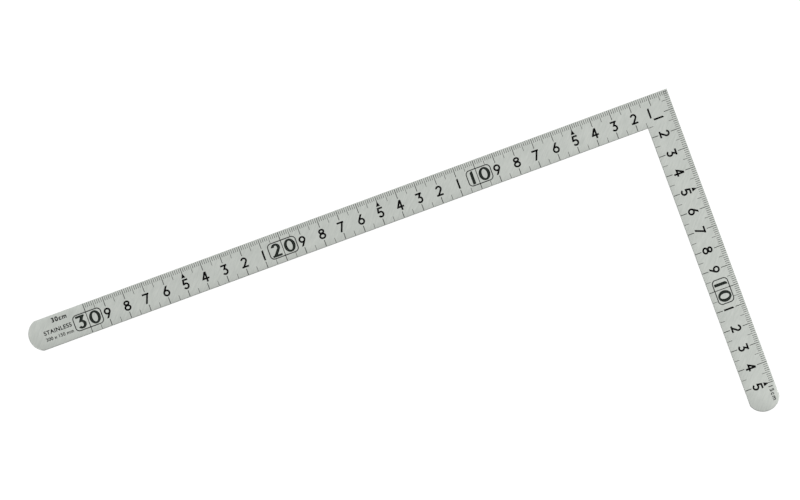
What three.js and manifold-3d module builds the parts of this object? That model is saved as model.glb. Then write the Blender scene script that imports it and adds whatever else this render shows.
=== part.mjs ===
// A flat steel square ruler: one L-shaped blade, etched with two centimetre scales that start
// at its outer corner, and the black enamel that fills the etched numerals.
//
// Millimetres, +Z up. The origin is the outer corner of the square, on the back face, which lies
// on Z = 0. The long arm runs along -X, the short arm along -Y, and the marked face looks up.
import * as THREE from "three";
import { mergeVertices } from "three/addons/utils/BufferGeometryUtils.js";
import Module from "manifold-3d";

const wasm = await Module();
wasm.setup();

// ---- The blade ----
const LONG_SCALE = 300; // graduated length of the long arm
const LONG_TAIL = 30; // plain steel past its last graduation
const SHORT_SCALE = 150; // graduated length of the short arm
const SHORT_TAIL = 12.7;
const BLADE_WIDTH = 15;
const BLADE_THICK = 1;
const END_EASE = 0.6; // how much the round of an end is flatter than a half circle
const EDGE_BREAK = 0.25; // chamfer that takes the burr off every edge

// ---- The etched marks and the enamel in them ----
const ETCH_DEPTH = 0.12;
const ENAMEL_DROP = 0.02; // the wiped enamel stands this far below the face
const ENAMEL_GAP = 0.02; // between the enamel and the walls of its pocket
const RUN_OUT = 1; // how far a pocket's cutter passes the face and the edges

// ---- The scales ----
const NUMBER_PITCH = 10; // one numeral to each centimetre
const DECADE = 10; // every tenth numeral is large and stands in a box
// upright and level are the thicknesses of a digit's strokes.
const NUMERAL = { width: 3.4, height: 5.05, upright: 0.88, level: 0.85 };
const NUMERAL_SHIFT = 0.93; // the row's middle lies this far inward of the blade's middle
const CORNER_GAP = 0.6; // between the first numerals of the two arms

const LARGE = { width: 4.8, height: 6.5, upright: 1.48, level: 1 };
const LARGE_SHIFT = 0.65; // the same for the boxed numerals
const LARGE_ONE = 1.42; // thickness of a large 1
const LARGE_ZERO = 5.55; // width of a large 0
const BOX_LINE = 0.45; // thickness of the box's line
const DECADE_LINE = 0.32; // thickness of the graduation through it
const BOX_MARGIN = 0.58; // from a large digit to the middle of the box's line
const BOX_ROUND = 1.9; // radius of the middle of the line at a corner
const BOX_GAP = 1.25; // from the box's line to the next numeral
const ONE_MARGIN = 1.82; // on either side of a large 1
const ONE_CUT = { across: 0.6, down: 0.5 }; // slanted top of a 1, in thicknesses of its stroke
// From the graduation to either side of the box, and the same on the side that holds a slim 1.
const BOX_REACH = NUMBER_PITCH - NUMERAL.width / 2 - BOX_GAP;
const BOX_REACH_ONE = LARGE_ONE + 2 * ONE_MARGIN;

const CHORD_SAG = 0.04; // how far a facet may cut inside a digit's round
const END_FACETS = 24; // round each end of the blade
const QUARTER = Math.PI / 2;

const ARMS = [
  { name: "long", scale: LONG_SCALE, away: -1, turn: 0 },
  { name: "short", scale: SHORT_SCALE, away: 1, turn: -QUARTER },
];

const STEEL = new THREE.MeshStandardMaterial({
  color: 0xc4c8c3,
  metalness: 1,
  roughness: 0.36,
});
const ENAMEL = new THREE.MeshStandardMaterial({
  color: 0x191c1a,
  metalness: 0,
  roughness: 0.4,
});

// ---- Solids ----

function solidOf(geometry) {
  const bare = geometry.clone();
  bare.deleteAttribute("normal");
  bare.deleteAttribute("uv");
  const merged = mergeVertices(bare, 1e-4);
  return new wasm.Manifold(
    new wasm.Mesh({
      numProp: 3,
      vertProperties: merged.attributes.position.array,
      triVerts: new Uint32Array(merged.index.array),
    }),
  );
}

function geometryOf(solid) {
  const mesh = solid.getMesh();
  const indexed = new THREE.BufferGeometry();
  indexed.setAttribute("position", new THREE.BufferAttribute(mesh.vertProperties, mesh.numProp));
  indexed.setIndex(new THREE.BufferAttribute(mesh.triVerts, 1));
  const geometry = indexed.toNonIndexed();
  geometry.computeVertexNormals();
  return geometry;
}

// The strokes of one mark, raised between two heights and joined into one solid.
function raise(strokes, bottom, top) {
  const options = { depth: top - bottom, bevelEnabled: false };
  const solids = strokes.map((stroke) =>
    solidOf(new THREE.ExtrudeGeometry(stroke, options).translate(0, 0, bottom)),
  );
  return solids.reduce((whole, next) => whole.add(next));
}

// ---- Strokes of the digits ----
// A digit is drawn upright, with its foot on Y = 0 and its middle on X = 0. Places are given in
// widths across and heights up. `grow` widens every stroke on all sides, for the pocket.

function outline(points) {
  return new THREE.Shape(points.map(([x, y]) => new THREE.Vector2(x, y)));
}

// Whole facets to each quarter turn that the sweep enters, so that a ring is even on all sides.
function facetsOf(radius, sweep) {
  const quarters = Math.ceil(Math.abs(sweep) / QUARTER);
  return quarters * Math.round(QUARTER / (2 * Math.acos(1 - CHORD_SAG / radius)));
}

function arcPoints(cx, cy, a, b, from, to, facets) {
  return Array.from({ length: facets + 1 }, (_, i) => {
    const angle = from + ((to - from) * i) / facets;
    return [cx + a * Math.cos(angle), cy + b * Math.sin(angle)];
  });
}

function pen({ width, height, upright, level }, grow) {
  const x = (share) => share * width;
  const y = (share) => share * height;

  // The outer and the inner side of a stretch of an oval ring with the given outer half axes.
  function ringSides(cx, cy, a, b, from, to) {
    const facets = facetsOf(Math.max(x(a), y(b)), to - from);
    const side = (halfWidth, halfHeight) =>
      arcPoints(x(cx), y(cy), halfWidth, halfHeight, from, to, facets);
    return [
      side(x(a) + grow, y(b) + grow),
      side(x(a) - upright - grow, y(b) - level - grow),
    ];
  }

  // A whole oval ring.
  function ring(cx, cy, a, b) {
    const [outer, inner] = ringSides(cx, cy, a, b, 0, 4 * QUARTER);
    const shape = outline(outer.slice(0, -1));
    shape.holes.push(outline(inner.slice(0, -1)));
    return shape;
  }

  // A stretch of such a ring, clockwise from one angle to another, in degrees. With a foot, it
  // runs on straight from there to a level cut on the base line, centred on that place.
  function bowl(cx, cy, a, b, fromDegrees, toDegrees, foot = null) {
    const reach = grow / x(a); // the angle that widens each end
    const from = THREE.MathUtils.degToRad(fromDegrees) + reach;
    const to = THREE.MathUtils.degToRad(toDegrees) - (foot === null ? reach : 0);
    const [outer, inner] = ringSides(cx, cy, a, b, from, to);
    inner.reverse();
    if (foot === null) return outline([...outer, ...inner]);
    const [endX, endY] = outer.at(-1).map((value, i) => (value + inner[0][i]) / 2);
    const [run, fall] = [endX - x(foot), endY];
    const half = ((upright / 2 + grow) * Math.hypot(fall, run)) / fall;
    return outline([...outer, [x(foot) + half, -grow], [x(foot) - half, -grow], ...inner]);
  }

  // A straight stroke, upright or slanted, with both ends cut level.
  function leg(x0, y0, x1, y1) {
    const rise = y(y1 - y0);
    const run = x(x1 - x0);
    const half = ((upright / 2 + grow) * Math.hypot(rise, run)) / rise;
    const over = (grow * run) / rise;
    return outline([
      [x(x0) - over - half, y(y0) - grow],
      [x(x0) - over + half, y(y0) - grow],
      [x(x1) + over + half, y(y1) + grow],
      [x(x1) + over - half, y(y1) + grow],
    ]);
  }

  // A level stroke with its lower side at y0.
  function beam(x0, x1, y0) {
    return outline([
      [x(x0) - grow, y(y0) - grow],
      [x(x1) + grow, y(y0) - grow],
      [x(x1) + grow, y(y0) + level + grow],
      [x(x0) - grow, y(y0) + level + grow],
    ]);
  }

  // A bare upright whose top is cut at a slant on the left.
  function slimOne() {
    const half = upright / 2 + grow;
    return outline([
      [-half, -grow],
      [half, -grow],
      [half, height + grow],
      [half - (1 - ONE_CUT.across) * upright, height + grow],
      [-half, height + grow - ONE_CUT.down * upright],
    ]);
  }

  return { ring, bowl, leg, beam, slimOne, top: 1 - level / height };
}

function digitStrokes(digit, style, grow) {
  const { ring, bowl, leg, beam, slimOne, top } = pen(style, grow);
  switch (digit) {
    case 0:
      return [ring(0, 0.5, 0.5, 0.5)];
    case 1:
      return [slimOne()];
    case 2:
      return [bowl(0.03, 0.69, 0.465, 0.31, 168, -40, -0.31), beam(-0.48, 0.5, 0)];
    case 3:
      return [
        beam(-0.45, 0.45, top),
        leg(-0.07, 0.5, 0.31, 1),
        bowl(0, 0.325, 0.475, 0.325, 97, -150),
      ];
    case 4:
      return [leg(0.17, 0, 0.17, 1), leg(-0.42, 0.26, 0.14, 1), beam(-0.42, 0.55, 0.26)];
    case 5:
      return [
        beam(-0.28, 0.45, top),
        leg(-0.31, 0.45, -0.17, 1),
        bowl(0, 0.325, 0.475, 0.325, 137, -152),
      ];
    case 6:
      return [ring(0, 0.33, 0.5, 0.33), leg(-0.31, 0.46, 0.2, 1)];
    case 7:
      return [beam(-0.52, 0.47, top), leg(-0.25, 0, 0.32, 1)];
    case 8:
      return [ring(0, 0.745, 0.45, 0.255), ring(0, 0.297, 0.51, 0.297)];
    default: // 9
      return [ring(0, 0.67, 0.5, 0.33), leg(-0.2, 0, 0.31, 0.54)];
  }
}

// The rounded box round a decade, and the graduation that runs through it across the blade.
function boxStrokes(reachLeft, reachRight, grow, overrun) {
  const half = DECADE_LINE / 2 + grow;
  const middle = -(BLADE_WIDTH / 2 + LARGE_SHIFT);
  const rise = LARGE.height / 2 + BOX_MARGIN;

  function roundedBox(offset) {
    const [x0, x1] = [-reachLeft - offset, reachRight + offset];
    const [y0, y1] = [middle - rise - offset, middle + rise + offset];
    const r = BOX_ROUND + offset;
    const corners = [
      [x1 - r, y1 - r],
      [x0 + r, y1 - r],
      [x0 + r, y0 + r],
      [x1 - r, y0 + r],
    ];
    return corners.flatMap(([x, y], i) =>
      arcPoints(x, y, r, r, i * QUARTER, (i + 1) * QUARTER, facetsOf(BOX_ROUND, QUARTER)),
    );
  }

  const box = outline(roundedBox(BOX_LINE / 2 + grow));
  box.holes.push(outline(roundedBox(-BOX_LINE / 2 - grow)));
  const graduation = outline([
    [-half, overrun],
    [-half, -BLADE_WIDTH - overrun],
    [half, -BLADE_WIDTH - overrun],
    [half, overrun],
  ]);
  return [box, graduation];
}

// ---- The enamel ----

const model = new THREE.Group();
const fills = []; // each enamel mesh with the function that draws its strokes

function addFill(arm, name, x, y, strokes) {
  const floor = BLADE_THICK - ETCH_DEPTH;
  const body = raise(strokes(0, -EDGE_BREAK), floor, BLADE_THICK - ENAMEL_DROP);
  const mesh = new THREE.Mesh(geometryOf(body), ENAMEL);
  mesh.name = name;
  mesh.position.set(x, y, 0);
  arm.add(mesh);
  fills.push({ mesh, strokes });
}

function addDigit(arm, name, x, rowShift, digit, style) {
  const foot = -(BLADE_WIDTH / 2 + rowShift + style.height / 2);
  addFill(arm, name, x, foot, (grow) => digitStrokes(digit, style, grow));
}

// A decade: the box with its graduation, and a large digit in each half of it.
function addDecade(arm, name, x, tens) {
  const reach = tens === 1 ? BOX_REACH_ONE : BOX_REACH;
  const tensStyle = tens === 1 ? { ...LARGE, upright: LARGE_ONE } : LARGE;
  const zeroStyle = { ...LARGE, width: LARGE_ZERO };
  addFill(arm, name + "_box", x, 0, (grow, overrun) => boxStrokes(reach, BOX_REACH, grow, overrun));
  addDigit(arm, name + "_tens", x - reach / 2, LARGE_SHIFT, tens, tensStyle);
  addDigit(arm, name + "_zero", x + BOX_REACH / 2, LARGE_SHIFT, 0, zeroStyle);
}

// The first numerals of both arms stand side by side in the corner, clear of each other.
const FIRST_NUMERAL =
  BLADE_WIDTH / 2 + NUMERAL_SHIFT + (NUMERAL.height + NUMERAL.upright) / 2 + CORNER_GAP;

for (const { name, scale, away, turn } of ARMS) {
  const arm = new THREE.Group();
  arm.rotation.z = turn;
  model.add(arm);
  for (let number = 1; number * NUMBER_PITCH <= scale; number++) {
    const label = name + "_numeral_" + String(number).padStart(2, "0");
    const distance = number === 1 ? FIRST_NUMERAL : number * NUMBER_PITCH;
    if (number % DECADE === 0) addDecade(arm, label, away * distance, number / DECADE);
    else addDigit(arm, label, away * distance, NUMERAL_SHIFT, number % DECADE, NUMERAL);
  }
}

// ---- The blade, cut with the pockets of the marks ----

function bladeOutline() {
  const radius = BLADE_WIDTH / 2 + END_EASE;
  const across = Math.asin(BLADE_WIDTH / 2 / radius);
  const longCentre = -(LONG_SCALE + LONG_TAIL - radius);
  const shortCentre = -(SHORT_SCALE + SHORT_TAIL - radius);
  const shape = new THREE.Shape();
  shape.moveTo(0, -BLADE_WIDTH);
  shape.lineTo(0, 0);
  shape.absarc(longCentre, -BLADE_WIDTH / 2, radius, Math.PI - across, Math.PI + across, false);
  shape.lineTo(-BLADE_WIDTH, -BLADE_WIDTH);
  shape.absarc(
    -BLADE_WIDTH / 2, shortCentre, radius, 1.5 * Math.PI - across, 1.5 * Math.PI + across, false,
  );
  return shape;
}

function bladeSolid() {
  const plate = new THREE.ExtrudeGeometry(bladeOutline(), {
    depth: BLADE_THICK - 2 * EDGE_BREAK,
    curveSegments: END_FACETS,
    bevelEnabled: true,
    bevelThickness: EDGE_BREAK,
    bevelSize: EDGE_BREAK,
    bevelOffset: -EDGE_BREAK,
    bevelSegments: 1,
  }).translate(0, 0, EDGE_BREAK);
  return solidOf(plate);
}

model.updateMatrixWorld(true);
let steel = bladeSolid();
for (const { mesh, strokes } of fills) {
  const cutter = raise(
    strokes(ENAMEL_GAP, RUN_OUT), BLADE_THICK - ETCH_DEPTH, BLADE_THICK + RUN_OUT,
  );
  steel = steel.subtract(solidOf(geometryOf(cutter).applyMatrix4(mesh.matrixWorld)));
}
const blade = new THREE.Mesh(geometryOf(steel), STEEL);
blade.name = "blade";
model.add(blade);

export default model;
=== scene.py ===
import math
from collections import namedtuple

import bmesh
import bpy
import numpy as np
from mathutils import Matrix, Vector


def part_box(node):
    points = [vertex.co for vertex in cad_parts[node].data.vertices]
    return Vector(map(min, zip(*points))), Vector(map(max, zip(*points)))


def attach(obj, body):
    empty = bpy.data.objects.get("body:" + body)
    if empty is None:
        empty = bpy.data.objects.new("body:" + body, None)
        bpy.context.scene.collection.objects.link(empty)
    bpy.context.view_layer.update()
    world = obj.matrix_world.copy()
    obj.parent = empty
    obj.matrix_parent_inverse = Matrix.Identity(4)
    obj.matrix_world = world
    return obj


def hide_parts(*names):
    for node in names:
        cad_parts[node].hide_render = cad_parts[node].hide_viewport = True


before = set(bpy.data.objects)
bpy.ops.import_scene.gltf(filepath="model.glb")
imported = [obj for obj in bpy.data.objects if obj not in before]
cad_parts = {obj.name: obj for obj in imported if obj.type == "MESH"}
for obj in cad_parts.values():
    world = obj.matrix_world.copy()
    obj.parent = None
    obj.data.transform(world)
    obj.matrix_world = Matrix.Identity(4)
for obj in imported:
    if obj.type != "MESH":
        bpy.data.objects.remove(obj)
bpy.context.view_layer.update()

# A flat steel square ruler. Lengths are in millimetres until a piece is finished: the origin is the
# outer corner, the back lies on Z = 0, the long arm runs along -X and the short arm along -Y.


# ---- The blank ----
# One L-shaped plate, stamped out of sheet steel and tumbled, which leaves every edge slightly round.
# Its faces are satin finished and plated. Everything else is etched into it further down.

MM = 0.001  # metres to a millimetre
BLANK_LOW, BLANK_HIGH = (np.array(corner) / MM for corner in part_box("blade"))
THICKNESS = BLANK_HIGH[2] - BLANK_LOW[2]
LONG_ARM = -BLANK_LOW[0]
SHORT_ARM = -BLANK_LOW[1]
ARM_WIDTH = 15.0
END_RADIUS = 8.1  # over half the width, so that an end meets the sides at soft corners
END_POINTS = 65
EDGE_RADIUS = 0.25
EDGE_POINTS = 6


def grid_faces(along, around, closed_along, closed_around):
    """The quads of a grid of points, counted along first, which may run into itself either way."""
    i = np.arange(along if closed_along else along - 1)[:, None]
    j = np.arange(around if closed_around else around - 1)[None, :]
    ahead, beside = (i + 1) % along, (j + 1) % around
    corners = [i * around + j, ahead * around + j, ahead * around + beside, i * around + beside]
    return np.stack(np.broadcast_arrays(*corners), axis=-1).reshape(-1, 4).tolist()


def new_object(name, vertices, faces):
    """A mesh at the origin. Its faces are turned round where the volume that they close is negative:
    the sum of each triangle's a . (b x c)."""
    fans = [(face[0], b, c) for face in faces for b, c in zip(face[1:-1], face[2:])]
    a, b, c = np.moveaxis(vertices[np.array(fans)] - vertices[0], 1, 0)
    if (a * np.cross(b, c)).sum() < 0:
        faces = [face[::-1] for face in faces]
    mesh = bpy.data.meshes.new(name)
    mesh.from_pydata(vertices.tolist(), [], faces)
    made = bpy.data.objects.new(name, mesh)
    bpy.context.scene.collection.objects.link(made)
    return made


def blank_outline():
    """The L from above. A point of an end is the arc's centre plus its radius times the cosine of an
    even run of angles along the arm, and times their sine across it."""
    reach = math.asin(ARM_WIDTH / 2 / END_RADIUS)
    angles = np.linspace(-reach, reach, END_POINTS)
    along = END_RADIUS * (1 - np.cos(angles))
    across = END_RADIUS * np.sin(angles)
    long_end = np.stack([along - LONG_ARM, -ARM_WIDTH / 2 - across], axis=1)
    short_end = np.stack([across - ARM_WIDTH / 2, along - SHORT_ARM], axis=1)
    return np.vstack([[0, 0], long_end, [-ARM_WIDTH, -ARM_WIDTH], short_end])


def edge_section():
    """The edge of the sheet from the back face to the front: a quarter round, the flat side and a
    quarter round, each point given by how far inside the outline and how high it lies."""
    turn = np.linspace(0, math.pi / 2, EDGE_POINTS)
    inset = EDGE_RADIUS * (1 - np.sin(turn))
    height = EDGE_RADIUS * (1 - np.cos(turn))
    return np.stack([np.r_[inset, inset[::-1]], np.r_[height, THICKNESS - height[::-1]]], axis=1)


def carried_round(outline, section):
    """A section carried round a closed outline. Each point moves inwards along the mitre of its two
    sides, by the inset times the sum of their normals over one plus the normals' product."""
    side = np.roll(outline, -1, axis=0) - outline
    side /= np.linalg.norm(side, axis=1, keepdims=True)
    inward = np.stack([-side[:, 1], side[:, 0]], axis=1)
    before = np.roll(inward, 1, axis=0)
    mitre = (inward + before) / (1 + (inward * before).sum(axis=1, keepdims=True))
    flat = outline[:, None, :] + mitre[:, None, :] * section[None, :, :1]
    height = np.broadcast_to(section[None, :, 1:], (*flat.shape[:2], 1))
    return np.concatenate([flat, height], axis=2)


rim = carried_round(blank_outline(), edge_section())
places, levels = rim.shape[:2]
back_edge = np.arange(places) * levels
blade = new_object(
    "square_blade",
    rim.reshape(-1, 3),
    [
        *grid_faces(places, levels, True, False),
        back_edge[::-1].tolist(),
        (back_edge + levels - 1).tolist(),
    ],
)


# ---- The numerals ----
# One at each centimetre of both arms, but for the tens: shallow pockets etched into the face and
# filled with black enamel, which is baked and wiped level. It sinks a little as it dries.

ETCH_DEPTH = 0.12
ENAMEL_DROP = 0.02  # how far the enamel stands below the face along its rim
ENAMEL_GAP = 0.004  # between the enamel and the walls of its pocket
RUN_OUT = 1.0  # how far a cutter passes the face and the edges
CURVE_STEP = math.radians(6)
DISH_POINTS = 7

Stroke = namedtuple("Stroke", "left right closed")
Style = namedtuple("Style", "width height upright level sink")
Arm = namedtuple("Arm", "name scale away turn")

NUMERAL = Style(width=3.4, height=5.05, upright=0.88, level=0.85, sink=0.015)
NUMERAL_SHIFT = 0.93  # the row's middle lies this far inward of the blade's middle
CORNER_GAP = 0.6  # between the first numerals of the two arms
ONE_CUT = (0.6, 0.5)  # slanted top of a 1, across and down, in thicknesses of its stroke
CENTIMETRE = 10
ARMS = (Arm("long", 300, -1, 0.0), Arm("short", 150, 1, -math.pi / 2))


def oval(style, x, y, wide, high, angles):
    """Points round a centre: half the width times the cosine, and half the height times the sine."""
    level = x * style.width + wide * np.cos(angles)
    upright = y * style.height + high * np.sin(angles)
    return np.stack([level, upright], axis=1)


def oval_sides(style, x, y, wide, high, angles, grow):
    """The outer and inner side of an oval stroke. `wide` and `high` are shares of the style's size,
    and `grow` widens the stroke on both sides."""
    half = np.array([wide * style.width + grow, high * style.height + grow])
    hole = half - (style.upright + 2 * grow, style.level + 2 * grow)
    return oval(style, x, y, *half, angles), oval(style, x, y, *hole, angles)


def ring(style, grow, x, y, wide, high):
    """A full oval stroke about a centre, given like its half sizes in shares of the style's size."""
    angles = np.arange(0, math.tau - CURVE_STEP / 2, CURVE_STEP)
    return Stroke(*oval_sides(style, x, y, wide, high, angles, grow), True)


def bowl(style, grow, x, y, wide, high, start, stop, foot=None):
    """A stretch of such a ring, clockwise between two angles in degrees. With a foot it runs on
    straight to a level cut on the base line, centred on that place."""
    reach = grow / (wide * style.width)
    start = math.radians(start) + reach
    stop = math.radians(stop) - (reach if foot is None else 0)
    angles = np.linspace(start, stop, 1 + round((start - stop) / CURVE_STEP))
    outer, inner = oval_sides(style, x, y, wide, high, angles, grow)
    if foot is not None:
        end_x, end_y = (outer[-1] + inner[-1]) / 2
        run = end_x - foot * style.width
        half = (style.upright / 2 + grow) * math.hypot(run, end_y) / end_y
        outer = np.vstack([outer, [foot * style.width + half, -grow]])
        inner = np.vstack([inner, [foot * style.width - half, -grow]])
    return Stroke(outer, inner, False)


def leg(style, grow, x0, y0, x1, y1):
    """A straight stroke from foot to top, upright or slanted, with both ends cut level."""
    rise, run = (y1 - y0) * style.height, (x1 - x0) * style.width
    half = (style.upright / 2 + grow) * math.hypot(rise, run) / rise
    over = grow * run / rise
    foot = (x0 * style.width - over, y0 * style.height - grow)
    top = (x1 * style.width + over, y1 * style.height + grow)
    middle = np.array([foot, top])
    return Stroke(middle - (half, 0), middle + (half, 0), False)


def beam(style, grow, x0, x1, y0):
    """A level stroke with its lower side at y0."""
    ends = np.array([[x0 * style.width - grow, 0], [x1 * style.width + grow, 0]])
    low = y0 * style.height - grow
    return Stroke(ends + (0, low + style.level + 2 * grow), ends + (0, low), False)


def slim_one(style, grow):
    """A bare upright whose top is cut at a slant on the left."""
    half, top = style.upright / 2 + grow, style.height + grow
    shoulder = top - ONE_CUT[1] * style.upright
    tip = half - (1 - ONE_CUT[0]) * style.upright
    left = np.array([[-half, -grow], [-half, shoulder], [tip, top]])
    right = np.array([[half, -grow], [half, shoulder], [half, top]])
    return Stroke(left, right, False)


def digit_strokes(digit, style, grow=0.0):
    """The strokes of a digit that stands on Y = 0 about X = 0, in shares of its width and height."""
    top = 1 - style.level / style.height
    drawn = {
        0: [(ring, 0, 0.5, 0.5, 0.5)],
        1: [(slim_one,)],
        2: [(bowl, 0.03, 0.69, 0.465, 0.31, 168, -40, -0.31), (beam, -0.48, 0.5, 0)],
        3: [
            (beam, -0.45, 0.45, top),
            (leg, -0.07, 0.5, 0.31, 1),
            (bowl, 0, 0.325, 0.475, 0.325, 97, -150),
        ],
        4: [(leg, 0.17, 0, 0.17, 1), (leg, -0.42, 0.26, 0.14, 1), (beam, -0.42, 0.55, 0.26)],
        5: [
            (beam, -0.28, 0.45, top),
            (leg, -0.31, 0.45, -0.17, 1),
            (bowl, 0, 0.325, 0.475, 0.325, 137, -152),
        ],
        6: [(ring, 0, 0.33, 0.5, 0.33), (leg, -0.31, 0.46, 0.2, 1)],
        7: [(beam, -0.52, 0.47, top), (leg, -0.25, 0, 0.32, 1)],
        8: [(ring, 0, 0.745, 0.45, 0.255), (ring, 0, 0.297, 0.51, 0.297)],
        9: [(ring, 0, 0.67, 0.5, 0.33), (leg, -0.2, 0, 0.31, 0.54)],
    }[digit]
    return [draw(style, grow, *shares) for draw, *shares in drawn]


def raised(stroke, section):
    """A closed section carried along a stroke: a point is the left side times one less its share,
    plus the right side times its share, at the section's height."""
    share, height = np.array(section).T
    share, height = share[None, :, None], height[None, :, None]
    flat = stroke.left[:, None, :] * (1 - share) + stroke.right[:, None, :] * share
    solid = np.concatenate([flat, np.broadcast_to(height, (*flat.shape[:2], 1))], axis=2)
    along, around = solid.shape[:2]
    faces = grid_faces(along, around, stroke.closed, True)
    if not stroke.closed:
        faces += [list(range(around)), list(range(along * around - 1, (along - 1) * around - 1, -1))]
    return new_object("stroke", solid.reshape(-1, 3), faces)


def block(low, high):
    """The section of a stroke with upright walls and a level top."""
    return [(0, low), (1, low), (1, high), (0, high)]


def dish(low, high, sink):
    """The section of the hollow that the enamel dries to: a parabola, from the rim down to its sink."""
    share = np.linspace(0, 1, DISH_POINTS)
    return [*zip(share, low - sink * 4 * share * (1 - share)), (1, high), (0, high)]


def combine(body, operation, tools):
    """Joins solids to a body, or cuts them from it, one after another. The tools are used up."""
    for tool in tools:
        change = body.modifiers.new(operation, "BOOLEAN")
        change.operation, change.object, change.solver = operation, tool, "MANIFOLD"
        whole = body.evaluated_get(bpy.context.evaluated_depsgraph_get())
        before, body.data = body.data, bpy.data.meshes.new_from_object(whole)
        body.modifiers.remove(change)
        body.data.materials.clear()  # a cut leaves an empty slot behind
        for mesh in (before, tool.data):
            bpy.data.meshes.remove(mesh)
    return body


def taken(body):
    """The vertices and faces of a scratch body, which is used up."""
    vertices = np.empty(len(body.data.vertices) * 3)
    body.data.vertices.foreach_get("co", vertices)
    faces = [tuple(face.vertices) for face in body.data.polygons]
    bpy.data.meshes.remove(body.data)
    return vertices.reshape(-1, 3), faces


def fill_of(strokes, sink):
    """The enamel in a mark: its strokes joined, with the hollow of each taken out of the top."""
    low, high = THICKNESS - ETCH_DEPTH, THICKNESS - ENAMEL_DROP
    first, *others = (raised(stroke, block(low, high)) for stroke in strokes)
    body = combine(first, "UNION", others)
    if sink:
        hollow = dish(high, THICKNESS, sink)
        combine(body, "DIFFERENCE", (raised(stroke, hollow) for stroke in strokes))
    return taken(body)


def pocket_of(strokes):
    """The cutter of a mark's pocket."""
    section = block(THICKNESS - ETCH_DEPTH, THICKNESS + RUN_OUT)
    first, *others = (raised(stroke, section) for stroke in strokes)
    return taken(combine(first, "UNION", others))


def on_face(solid, arm, x, y, face):
    """A solid drawn in an arm's reading frame, where the outer edge is Y = 0 and lies on top, put in
    place: moved, turned about the outer corner, and for the back face (-1) given half a turn about
    Y, which takes x to minus x and z to the thickness less z."""
    vertices, faces = solid
    cos, sin = math.cos(arm.turn * face), math.sin(arm.turn * face)
    flat = (vertices[:, :2] + (x, y)) @ np.array([[cos, sin], [-sin, cos]])
    high = vertices[:, 2] if face > 0 else THICKNESS - vertices[:, 2]
    return np.column_stack([flat[:, 0] * face, flat[:, 1], high]), faces


def together(solids):
    """Several solids as one, with their corners counted on from one to the next."""
    starts = np.cumsum([0, *(len(vertices) for vertices, _ in solids)])
    faces = []
    for start, (_, own) in zip(starts, solids):
        faces += [tuple(corner + start for corner in face) for face in own]
    return np.vstack([vertices for vertices, _ in solids]), faces


def hex_colour(code):
    """The linear colour of an sRGB hex value: a straight foot, then a power."""
    share = np.array([int(code[i:i + 2], 16) for i in (1, 3, 5)]) / 255
    return (*np.where(share <= 0.04045, share / 12.92, ((share + 0.055) / 1.055) ** 2.4).tolist(), 1.0)


def add_node(tree, kind, settings=None, **inputs):
    """Adds a shader node. Each input, named or as n and its number, takes a value or another socket."""
    node = tree.nodes.new(kind)
    for name, value in (settings or {}).items():
        setattr(node, name, value)
    for name, value in inputs.items():
        socket = node.inputs[int(name[1:]) if name[1:].isdigit() else name.replace("_", " ")]
        if isinstance(value, bpy.types.NodeSocket):
            tree.links.new(value, socket)
        else:
            socket.default_value = value
    return node


def new_material(name):
    """A material whose empty tree ends in a Principled shader, with its tree and that shader."""
    material = bpy.data.materials.new(name)
    material.use_nodes = True
    tree = material.node_tree
    tree.nodes.clear()
    shader = add_node(tree, "ShaderNodeBsdfPrincipled")
    add_node(tree, "ShaderNodeOutputMaterial", Surface=shader.outputs["BSDF"])
    return material, tree, shader


SPECKLE_SIZE = 0.5


def baked_enamel():
    """Black stoving enamel, wiped into the etching. It is nearly black against the walls, and where
    it has sunk the thin film lets some of the metal's grey green through."""
    material, tree, shader = new_material("black_stoving_enamel")
    place = add_node(tree, "ShaderNodeTexCoord").outputs["Object"]
    height = add_node(tree, "ShaderNodeSeparateXYZ", Vector=place).outputs["Z"]
    middle = THICKNESS / 2 * MM
    above = add_node(tree, "ShaderNodeMath", {"operation": "SUBTRACT"}, n0=height, n1=middle).outputs[0]
    depth = add_node(tree, "ShaderNodeMath", {"operation": "ABSOLUTE"}, n0=above).outputs[0]
    thin = add_node(
        tree,
        "ShaderNodeMapRange",
        Value=depth,
        From_Min=middle - (ENAMEL_DROP + NUMERAL.sink) * MM,
        From_Max=middle - (ENAMEL_DROP + LARGE.sink) * MM,
    ).outputs[0]
    scale = 1 / (SPECKLE_SIZE * MM)
    speckle = add_node(tree, "ShaderNodeTexNoise", Vector=place, Scale=scale, Detail=2.0).outputs[0]
    worn = add_node(tree, "ShaderNodeMath", {"operation": "MULTIPLY"}, n0=thin, n1=speckle).outputs[0]
    colour = add_node(
        tree,
        "ShaderNodeMix",
        {"data_type": "RGBA"},
        n0=worn,
        n6=hex_colour("#030404"),
        n7=hex_colour("#4c564e"),
    ).outputs[2]
    tree.links.new(colour, shader.inputs["Base Color"])
    gloss = add_node(tree, "ShaderNodeMapRange", Value=speckle, To_Min=0.38, To_Max=0.5).outputs[0]
    tree.links.new(gloss, shader.inputs["Roughness"])
    shader.inputs["IOR"].default_value = 1.45
    shader.inputs["Specular IOR Level"].default_value = 0.06
    return material


def finish_piece(name, solid, material, slot, *nodes):
    """A piece in metres, which rides on the plate's body and stands for the CAD nodes named."""
    vertices, faces = solid
    piece = new_object(name, vertices * MM, faces)
    piece.data.materials.append(material)
    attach(piece, "root")
    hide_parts(*nodes)
    return piece


LARGE = Style(width=4.8, height=6.5, upright=1.48, level=1.0, sink=0.045)
ENAMEL = baked_enamel()
FACES = ((1, ""), (-1, "back_"))
Mark = namedtuple("Mark", "label fill pocket distance aside y")
pockets = {arm: [] for arm in ARMS}  # the cutters of each arm's marks, all clear of each other


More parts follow.
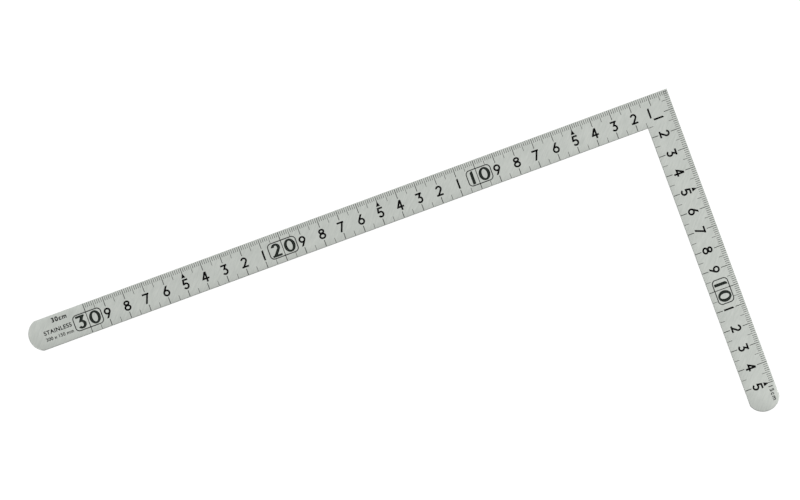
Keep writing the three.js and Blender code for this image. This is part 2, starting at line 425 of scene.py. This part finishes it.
def etch(arm, kind, marks, nodes=None):
    """Sets an arm's marks of one kind in both faces, at their distance from the corner and a step
    aside. Their enamel is one piece, or on the front a piece for each CAD node of that name."""
    for face, side in FACES:
        fills = []
        for mark in marks:
            x = arm.away * face * mark.distance + mark.aside
            pockets[arm].append(on_face(mark.pocket, arm, x, mark.y, face))
            if mark.fill:
                fills.append(on_face(mark.fill, arm, x, mark.y, face))
        if nodes and face > 0:
            for mark, fill in zip(marks, fills):
                node = f"{arm.name}_{nodes}{mark.label}"
                finish_piece(node + "_enamel", fill, ENAMEL, "enamel", node)
        else:
            finish_piece(f"{side}{arm.name}_{kind}_enamel", together(fills), ENAMEL, "enamel")


def numeral_marks(arm):
    """A digit at each centimetre. The first ones of both arms keep clear of each other's corner."""
    first = ARM_WIDTH / 2 + NUMERAL_SHIFT + (NUMERAL.height + NUMERAL.upright) / 2 + CORNER_GAP
    foot = -(ARM_WIDTH / 2 + NUMERAL_SHIFT + NUMERAL.height / 2)
    for number in range(1, arm.scale // CENTIMETRE + 1):
        distance = first if number == 1 else number * CENTIMETRE
        if number % 10:
            yield Mark(f"_{number:02}", *digits[number % 10], distance, 0, foot)


def digit_pair(digit, style):
    """The enamel and the pocket of a digit."""
    fill = fill_of(digit_strokes(digit, style), style.sink)
    return fill, pocket_of(digit_strokes(digit, style, ENAMEL_GAP))


digits = {digit: digit_pair(digit, NUMERAL) for digit in range(1, 10)}
for arm in ARMS:
    etch(arm, "numeral", list(numeral_marks(arm)), nodes="numeral")


# ---- The tens ----
# At each ten centimetres a large two-digit numeral stands in a box with rounded corners, and the
# graduation runs through it from edge to edge. In strokes this broad the enamel dries hollow.

DECADE = 10 * CENTIMETRE
LARGE_SHIFT = 0.65  # the row's middle lies this far inward of the blade's middle
LARGE_ONE = LARGE._replace(upright=1.42)
LARGE_ZERO = LARGE._replace(width=5.55)
BOX_LINE = 0.45
BOX_MARGIN = 0.58  # from a large digit to the middle of the box's line
BOX_ROUND = 1.9
BOX_SINK = 0.01
CORNER_POINTS = 16
DECADE_LINE = 0.32
BOX_REACH = CENTIMETRE - NUMERAL.width / 2 - 1.25  # leaves that much to the next numeral
BOX_REACH_ONE = LARGE_ONE.upright + 2 * 1.82  # leaves that much on either side of the slim 1


def rounded_box(left, right, bottom, top, radius):
    """A quarter turn about each corner's centre: the radius times the cosine and sine of an even run
    of angles, with the centre a radius inside the box both ways."""
    angles = np.arange(4)[:, None] * math.pi / 2 + np.linspace(0, math.pi / 2, CORNER_POINTS)
    corners = np.array([(right, top), (left, top), (left, bottom), (right, bottom)])
    centres = corners + radius * np.array([(-1, -1), (1, -1), (1, 1), (-1, 1)])
    turned = centres[:, None, :] + radius * np.stack([np.cos(angles), np.sin(angles)], axis=2)
    return turned.reshape(-1, 2)


def box_strokes(left, right, grow=0.0, overrun=-EDGE_RADIUS):
    """The box's line, and the graduation that crosses it and passes both edges by the overrun."""
    middle, rise = -(ARM_WIDTH / 2 + LARGE_SHIFT), LARGE.height / 2 + BOX_MARGIN
    border = [
        rounded_box(-left - out, right + out, middle - rise - out, middle + rise + out, BOX_ROUND + out)
        for out in (BOX_LINE / 2 + grow, -BOX_LINE / 2 - grow)
    ]
    ends = np.array([[0, overrun], [0, -ARM_WIDTH - overrun]])
    half = DECADE_LINE / 2 + grow
    return [Stroke(*border, True), Stroke(ends - (half, 0), ends + (half, 0), False)]


def decade_marks(arm):
    """The box, the tens digit in its left half and the zero in its right half."""
    foot = -(ARM_WIDTH / 2 + LARGE_SHIFT + LARGE.height / 2)
    for tens in range(1, arm.scale // DECADE + 1):
        style, reach = (LARGE_ONE, BOX_REACH_ONE) if tens == 1 else (LARGE, BOX_REACH)
        distance = tens * DECADE
        box = fill_of(box_strokes(reach, BOX_REACH), BOX_SINK)
        box_pocket = pocket_of(box_strokes(reach, BOX_REACH, ENAMEL_GAP, RUN_OUT))
        yield Mark(f"_{tens}0_box", box, box_pocket, distance, 0, 0)
        yield Mark(f"_{tens}0_tens", *digit_pair(tens, style), distance, -reach / 2, foot)
        yield Mark(f"_{tens}0_zero", *digit_pair(0, LARGE_ZERO), distance, BOX_REACH / 2, foot)


for arm in ARMS:
    etch(arm, "tens", list(decade_marks(arm)), nodes="numeral")


# ---- The graduations ----
# Fine etched lines: from the outer edge one to each millimetre, longer at five and ten, and from
# the inner edge one to each five. Every fifth centimetre's line swells into a pointer.

OUTER_TICKS = {1: (2.4, 0.225), 5: (4.4, 0.2), 10: (5.1, 0.3)}  # length and thickness
INNER_TICKS = {5: (2.7, 0.2), 10: (3.4, 0.32)}
BESIDE_BOX = 4.0  # length of a line that a box would otherwise meet
CROSSING = (1, 2)  # the lines of either arm that cross those of the other
POINTER_EVERY = 50
POINTER_NECK, POINTER_FOOT, POINTER_WIDTH = 3.2, 5.3, 2.0


def line(stations, widths, inner=False, grow=0.0, start=EDGE_RADIUS):
    """A line from the outer or the inner edge, which passes the given distances from that edge with
    the given widths, and starts with the first of them."""
    depth = np.array([start, *stations])
    depth[-1] += grow
    y = depth - ARM_WIDTH if inner else -depth
    middle = np.stack([np.zeros_like(y), y], axis=1)
    half = np.zeros_like(middle)
    half[:, 0] = np.array([widths[0], *widths]) / 2 + grow
    return Stroke(middle - half, middle + half, False)


def tick(stations, widths, inner=False, run_out=RUN_OUT):
    """The enamel and the pocket of such a line."""
    pocket = pocket_of([line(stations, widths, inner, ENAMEL_GAP, -run_out)])
    return fill_of([line(stations, widths, inner)], 0), pocket


def outer_marks(arm):
    """A line at each millimetre. Those at the tens are part of their boxes."""
    ticks = {step: tick([length], [width]) for step, (length, width) in OUTER_TICKS.items()}
    beside = tick([BESIDE_BOX], [OUTER_TICKS[5][1]])
    pointer = tick([POINTER_NECK, POINTER_FOOT], [OUTER_TICKS[10][1], POINTER_WIDTH])
    for distance in range(1, arm.scale + 1):
        if distance % DECADE == 0:
            continue
        step = max(step for step in OUTER_TICKS if distance % step == 0)
        shape = ticks[step]
        if distance % DECADE in (5, DECADE - 5) and distance > DECADE / 2:
            shape = beside
        if distance % POINTER_EVERY == 0:
            shape = pointer
        fill, pocket = shape
        yield Mark("", None if distance in CROSSING else fill, pocket, distance, 0, 0)


def inner_marks(arm):
    """A line at each five millimetres from the inner corner on."""
    ticks = {step: tick([length], [width], inner=True) for step, (length, width) in INNER_TICKS.items()}
    first = tick([INNER_TICKS[5][0]], [INNER_TICKS[5][1]], inner=True, run_out=INNER_TICKS[5][1] / 2)
    yield Mark("", *first, ARM_WIDTH, 0, 0)
    for distance in range(20, arm.scale + 1, 5):
        if distance % DECADE:
            yield Mark("", *ticks[10 if distance % 10 == 0 else 5], distance, 0, 0)


def crossing_strokes(face):
    """The first lines of both arms, which cross at the corner: a step aside from the corner, and the
    same with x and y exchanged."""
    left, right, _ = line([OUTER_TICKS[1][0]], [OUTER_TICKS[1][1]])
    for distance in CROSSING:
        sides = left - (distance, 0), right - (distance, 0)
        yield Stroke(*(side * (face, 1) for side in sides), False)
        yield Stroke(*(side[:, ::-1] * (face, 1) for side in sides), False)


for arm in ARMS:
    etch(arm, "outer_graduations", list(outer_marks(arm)))
    etch(arm, "inner_graduations", list(inner_marks(arm)))
for face, side in FACES:
    crossing = on_face(fill_of(list(crossing_strokes(face)), 0), ARMS[0], 0, 0, face)
    finish_piece(side + "corner_graduations_enamel", crossing, ENAMEL, "enamel")


# ---- The lettering ----
# What each arm measures, in small letters past its last graduation, etched and filled like the
# rest. The tail of the long arm also says what the square is made of and how large it is.

# A capital is 0.7 sizes tall. Bold is how much each stroke is widened on both sides.
Label = namedtuple("Label", "text size bold spacing distance foot")
LABELS = {
    "long": (
        Label("30cm", 3.1, 0.09, 1.2, 313.1, -3.6),
        Label("STAINLESS", 2.8, 0.06, 1.1, 315.4, -8.4),
        Label("300 x 150 mm", 2.3, 0.04, 1.05, 315.4, -11.5),
    ),
    "short": (Label("15cm", 2.9, 0.05, 1.3, 155.05, -3.5),),
}


WELD = 0.0001  # closes the raised letters, whose sides and faces come unjoined


def lettering(label, low, high, grow=0.0):
    """Type raised between two heights, about X = 0 and on Y = 0. It is joined with copies of itself a
    little to every side, which makes each letter bolder and keeps it closed."""
    curve = bpy.data.curves.new("lettering", "FONT")
    curve.body, curve.size, curve.space_character = label.text, label.size, label.spacing
    curve.align_x, curve.offset, curve.extrude = "CENTER", grow, (high - low) / 2
    letters = bpy.data.objects.new("lettering", curve)
    bpy.context.scene.collection.objects.link(letters)
    shown = letters.evaluated_get(bpy.context.evaluated_depsgraph_get())
    form = bmesh.new()
    form.from_mesh(bpy.data.meshes.new_from_object(shown))
    bmesh.ops.remove_doubles(form, verts=form.verts, dist=WELD)
    form.verts.index_update()
    vertices = np.array([vertex.co for vertex in form.verts]) + (0, 0, (low + high) / 2)
    faces = [[vertex.index for vertex in face.verts] for face in form.faces]
    form.free()
    bpy.data.curves.remove(curve)
    steps = [(x, y, 0) for x in (-label.bold, label.bold) for y in (-label.bold, label.bold)]
    first, *others = (new_object("letters", vertices + step, faces) for step in steps)
    return taken(combine(first, "UNION", others))


def label_mark(label):
    """The enamel and the pocket of a label, which stands at its distance from the corner."""
    floor = THICKNESS - ETCH_DEPTH
    fill = lettering(label, floor, THICKNESS - ENAMEL_DROP)
    pocket = lettering(label, floor, THICKNESS + RUN_OUT, ENAMEL_GAP)
    return Mark("", fill, pocket, label.distance, 0, label.foot)


for arm in ARMS:
    etch(arm, "label", [label_mark(label) for label in LABELS[arm.name]])


# ---- The etched plate ----
# The blank with every pocket etched into both faces. The sheet was belt finished aslant, about
# midway between the arms, and the satin grain under the plating takes the shine off the steel.

GRAIN_WIDTH = 0.8  # real lines are under 0.1 mm wide, and are drawn this coarse so that they show
GRAIN_LENGTH = 6.0
GRAIN_TURN = math.radians(48)
CLOUD_SIZE = 9.0
SHARP_ANGLE = math.radians(30)


def satin_steel():
    """Belt-finished and satin-plated steel: pale grey with a green cast, a soft wide gleam, slanting
    streaks that only just show, and slow clouds where the belt pressed more or less."""
    material, tree, shader = new_material("satin_plated_steel")
    place = add_node(tree, "ShaderNodeTexCoord").outputs["Object"]
    turn = (0.0, 0.0, -GRAIN_TURN)
    turned = add_node(tree, "ShaderNodeMapping", Vector=place, Rotation=turn).outputs[0]
    scale = (1 / (GRAIN_LENGTH * MM), 1 / (GRAIN_WIDTH * MM), 1 / (GRAIN_LENGTH * MM))
    stretched = add_node(tree, "ShaderNodeMapping", Vector=turned, Scale=scale).outputs[0]
    grain = add_node(
        tree,
        "ShaderNodeTexNoise",
        Vector=stretched,
        Scale=1.0,
        Detail=4.0,
        Roughness=0.65,
    ).outputs[0]
    clouds = add_node(
        tree,
        "ShaderNodeTexNoise",
        Vector=place,
        Scale=1 / (CLOUD_SIZE * MM),
        Detail=3.0,
        Roughness=0.6,
    ).outputs[0]
    mottle = add_node(tree, "ShaderNodeMix", n0=0.3, n2=grain, n3=clouds).outputs[0]
    span = add_node(tree, "ShaderNodeMapRange", Value=mottle, From_Min=0.3, From_Max=0.7).outputs[0]
    colour = add_node(
        tree,
        "ShaderNodeMix",
        {"data_type": "RGBA"},
        n0=span,
        n6=hex_colour("#d3d8d2"),
        n7=hex_colour("#e7ebe5"),
    ).outputs[2]
    tree.links.new(colour, shader.inputs["Base Color"])
    rough = add_node(tree, "ShaderNodeMapRange", Value=clouds, To_Min=0.34, To_Max=0.42).outputs[0]
    tree.links.new(rough, shader.inputs["Roughness"])
    relief = add_node(tree, "ShaderNodeBump", Height=grain, Strength=0.32, Distance=0.01 * MM).outputs[0]
    tree.links.new(relief, shader.inputs["Normal"])
    sin, cos = math.sin(GRAIN_TURN), math.cos(GRAIN_TURN)
    across = add_node(tree, "ShaderNodeCombineXYZ", X=-sin, Y=cos).outputs[0]
    tree.links.new(across, shader.inputs["Tangent"])
    shader.inputs["Anisotropic"].default_value = 0.4
    shader.inputs["Metallic"].default_value = 1.0
    return material


for arm in ARMS:
    combine(blade, "DIFFERENCE", [new_object("pockets", *together(pockets[arm]))])
blade.data.transform(Matrix.Scale(MM, 4))
blade.data.set_sharp_from_angle(angle=SHARP_ANGLE)
blade.data.materials.append(satin_steel())
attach(blade, "root")
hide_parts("blade")


# ---- The table, the light and the camera ----
# The square lies flat on a pale light table, under a wide soft sky and with a small softbox beside
# the corner and another beside the tail, and is looked at from straight above.

TABLE_SIZE = 6000.0
TABLE_GAP = 0.05  # keeps the table clear of the back face
TABLE_GRAIN = 2.0
TABLE_GLOW = 0.9
LENS = 200.0
SENSOR = 36.0
VIEW_WIDTH = 385.5  # of the face, across the frame
VIEW_CENTRE = (-147.42, -28.67)
VIEW_TURN = math.radians(-20.21)
SKY_ZENITH = 0.737
SKY_SIDES = 0.9
SKY_SHADE = 0.02  # of the dark side of the room, towards the near edge
SHADE_TURN = math.radians(-115)
SHADE_EDGE = 0.35  # cosine of the angle to that side at which the dark is full
ZENITH_EDGE = (0.98, 0.85)  # sines of the heights between which the zenith gives way to the sides


def pale_table():
    """White opal acrylic, lit from below, so that the table falls away and takes no shadow."""
    material, tree, shader = new_material("opal_acrylic")
    place = add_node(tree, "ShaderNodeTexCoord").outputs["Object"]
    scale = 1 / (TABLE_GRAIN * MM)
    speckle = add_node(tree, "ShaderNodeTexNoise", Vector=place, Scale=scale, Detail=2.0).outputs[0]
    rough = add_node(tree, "ShaderNodeMapRange", Value=speckle, To_Min=0.75, To_Max=0.85).outputs[0]
    tree.links.new(rough, shader.inputs["Roughness"])
    shader.inputs["Base Color"].default_value = hex_colour("#909190")
    shader.inputs["Specular IOR Level"].default_value = 0.2
    seen = add_node(tree, "ShaderNodeLightPath").outputs["Is Camera Ray"]
    glow = add_node(tree, "ShaderNodeMath", {"operation": "MULTIPLY"}, n0=seen, n1=TABLE_GLOW).outputs[0]
    tree.links.new(glow, shader.inputs["Emission Strength"])
    shader.inputs["Emission Color"].default_value = hex_colour("#ffffff")
    return material


def soft_light(name, place, target, size, power):
    """A square softbox that faces its target, hidden from the camera. Places in metres."""
    lamp = bpy.data.lights.new(name, "AREA")
    lamp.size, lamp.energy = size, power
    light = bpy.data.objects.new(name, lamp)
    light.location = place
    light.rotation_euler = (Vector(place) - Vector(target)).to_track_quat("Z", "Y").to_euler()
    light.visible_camera = False
    bpy.context.scene.collection.objects.link(light)


half = TABLE_SIZE / 2
square = np.array([(-1, -1), (1, -1), (1, 1), (-1, 1)]) * half
square = np.column_stack([square, np.full(4, -TABLE_GAP)])
table = bpy.data.meshes.new("table")
table.from_pydata((square * MM).tolist(), [], [(0, 1, 2, 3)])
table.materials.append(pale_table())
table = bpy.data.objects.new("table", table)
bpy.context.scene.collection.objects.link(table)

world = bpy.data.worlds.new("soft_sky")
world.use_nodes = True
bpy.context.scene.world = world
sky = world.node_tree
sky.nodes.clear()
direction = add_node(sky, "ShaderNodeTexCoord").outputs["Generated"]
up = add_node(sky, "ShaderNodeSeparateXYZ", Vector=direction).outputs["Z"]
towards = add_node(
    sky,
    "ShaderNodeVectorMath",
    {"operation": "DOT_PRODUCT"},
    n0=direction,
    n1=(math.cos(SHADE_TURN), math.sin(SHADE_TURN), 0.0),
).outputs["Value"]
shade = add_node(
    sky,
    "ShaderNodeMapRange",
    {"interpolation_type": "SMOOTHSTEP"},
    Value=towards,
    From_Min=0.0,
    From_Max=SHADE_EDGE,
    To_Min=SKY_SIDES,
    To_Max=SKY_SHADE,
).outputs[0]
aside = add_node(
    sky,
    "ShaderNodeMapRange",
    {"interpolation_type": "SMOOTHSTEP"},
    Value=up,
    From_Min=ZENITH_EDGE[0],
    From_Max=ZENITH_EDGE[1],
).outputs[0]
strength = add_node(sky, "ShaderNodeMix", n0=aside, n2=SKY_ZENITH, n3=shade).outputs[0]
glow = add_node(sky, "ShaderNodeBackground", Color=hex_colour("#fefefe"), Strength=strength)
add_node(sky, "ShaderNodeOutputWorld", Surface=glow.outputs[0])
soft_light("corner_softbox", (0.32, -0.34, 0.36), (0.0, -0.1, 0.0), 0.2, 0.5)
soft_light("tail_softbox", (-0.68, -0.22, 0.36), (-0.33, -0.01, 0.0), 0.2, 0.52)

lens = bpy.data.cameras.new("camera")
lens.lens, lens.sensor_width = LENS, SENSOR
camera = bpy.data.objects.new("camera", lens)
camera.location = Vector((*VIEW_CENTRE, VIEW_WIDTH * LENS / SENSOR + THICKNESS)) * MM
camera.rotation_euler = (0.0, 0.0, VIEW_TURN)
bpy.context.scene.collection.objects.link(camera)
bpy.context.scene.camera = camera
bpy.context.scene.view_settings.view_transform = "Standard"
